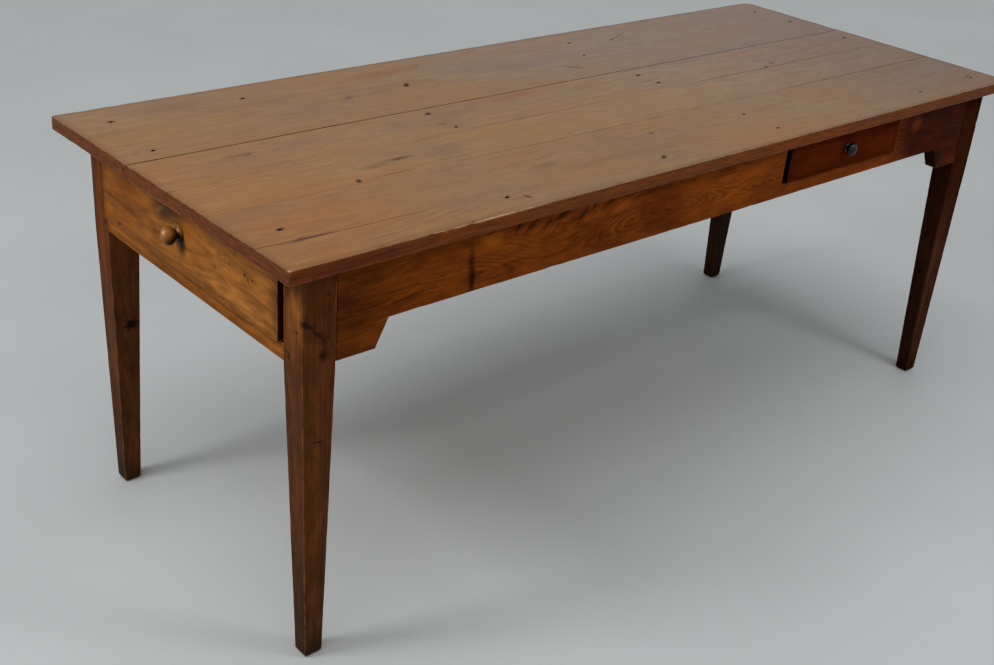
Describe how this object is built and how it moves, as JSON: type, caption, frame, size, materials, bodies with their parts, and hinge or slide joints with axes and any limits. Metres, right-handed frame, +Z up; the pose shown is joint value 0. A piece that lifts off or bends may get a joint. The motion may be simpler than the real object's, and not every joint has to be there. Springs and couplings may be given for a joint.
{
  "type": "farmhouse table",
  "caption": "Long wooden farmhouse table with a plank top, tapered square legs, bracket-ended aprons, a drawer in one end and another in the front.",
  "frame": {"origin": "on the floor under the middle of the top", "axes": "+X along the table towards the plain end, +Y from the front drawer's side towards the back, +Z up"},
  "size_m": [1.97, 0.785, 0.77],
  "materials": {
    "top_pine": "worn matt wax",
    "leg_oak": "worn satin wax",
    "apron_oak": "satin wax",
    "end_drawer_oak": "satin wax",
    "front_drawer_oak": "satin wax",
    "drawer_pine": "bare planed wood",
    "inner_pine": "bare sawn wood",
    "peg_oak": "end grain",
    "knob_wood": "polished by use",
    "knob_metal": "dark polished metal",
    "nut_steel": "dull steel",
    "nail_iron": "rusted iron"
  },
  "bodies": {
    "frame": {"top_board_front": "top_pine", "top_board_front_middle": "top_pine", "top_board_back_middle": "top_pine", "top_board_back": "top_pine", "leg_front_left": "leg_oak", "leg_front_right": "leg_oak", "leg_back_left": "leg_oak", "leg_back_right": "leg_oak", "front_apron": "apron_oak", "back_apron": "apron_oak", "right_end_apron": "apron_oak", "end_drawer_rail": "apron_oak", "end_tie_rail": "inner_pine", "cross_rail_left": "inner_pine", "cross_rail_right": "inner_pine", "end_runner_front": "inner_pine", "end_runner_back": "inner_pine", "front_runner_left": "inner_pine", "front_runner_right": "inner_pine", "front_guide_left": "inner_pine", "front_guide_right": "inner_pine", "front_drawer_stops": "inner_pine", "top_nails": "nail_iron", "joint_pegs": "peg_oak", "runner_nails": "nail_iron"},
    "end_drawer": {"end_drawer_front": "end_drawer_oak", "end_drawer_side_front": "drawer_pine", "end_drawer_side_back": "drawer_pine", "end_drawer_back": "drawer_pine", "end_drawer_bottom": "drawer_pine", "end_drawer_knob": "knob_wood", "end_drawer_nails": "nail_iron"},
    "front_drawer": {"front_drawer_front": "front_drawer_oak", "front_drawer_side_left": "drawer_pine", "front_drawer_side_right": "drawer_pine", "front_drawer_back": "drawer_pine", "front_drawer_bottom": "drawer_pine", "front_drawer_knob": "knob_metal", "front_knob_nut": "nut_steel", "front_drawer_nails": "nail_iron"}
  },
  "joints": [
    {"name": "end_drawer_slide", "type": "slide", "parent": "frame", "child": "end_drawer", "axis": [-1, 0, 0], "range_m": [0, 0.38]},
    {"name": "front_drawer_slide", "type": "slide", "parent": "frame", "child": "front_drawer", "axis": [0, -1, 0], "range_m": [0, 0.29]}
  ]
}
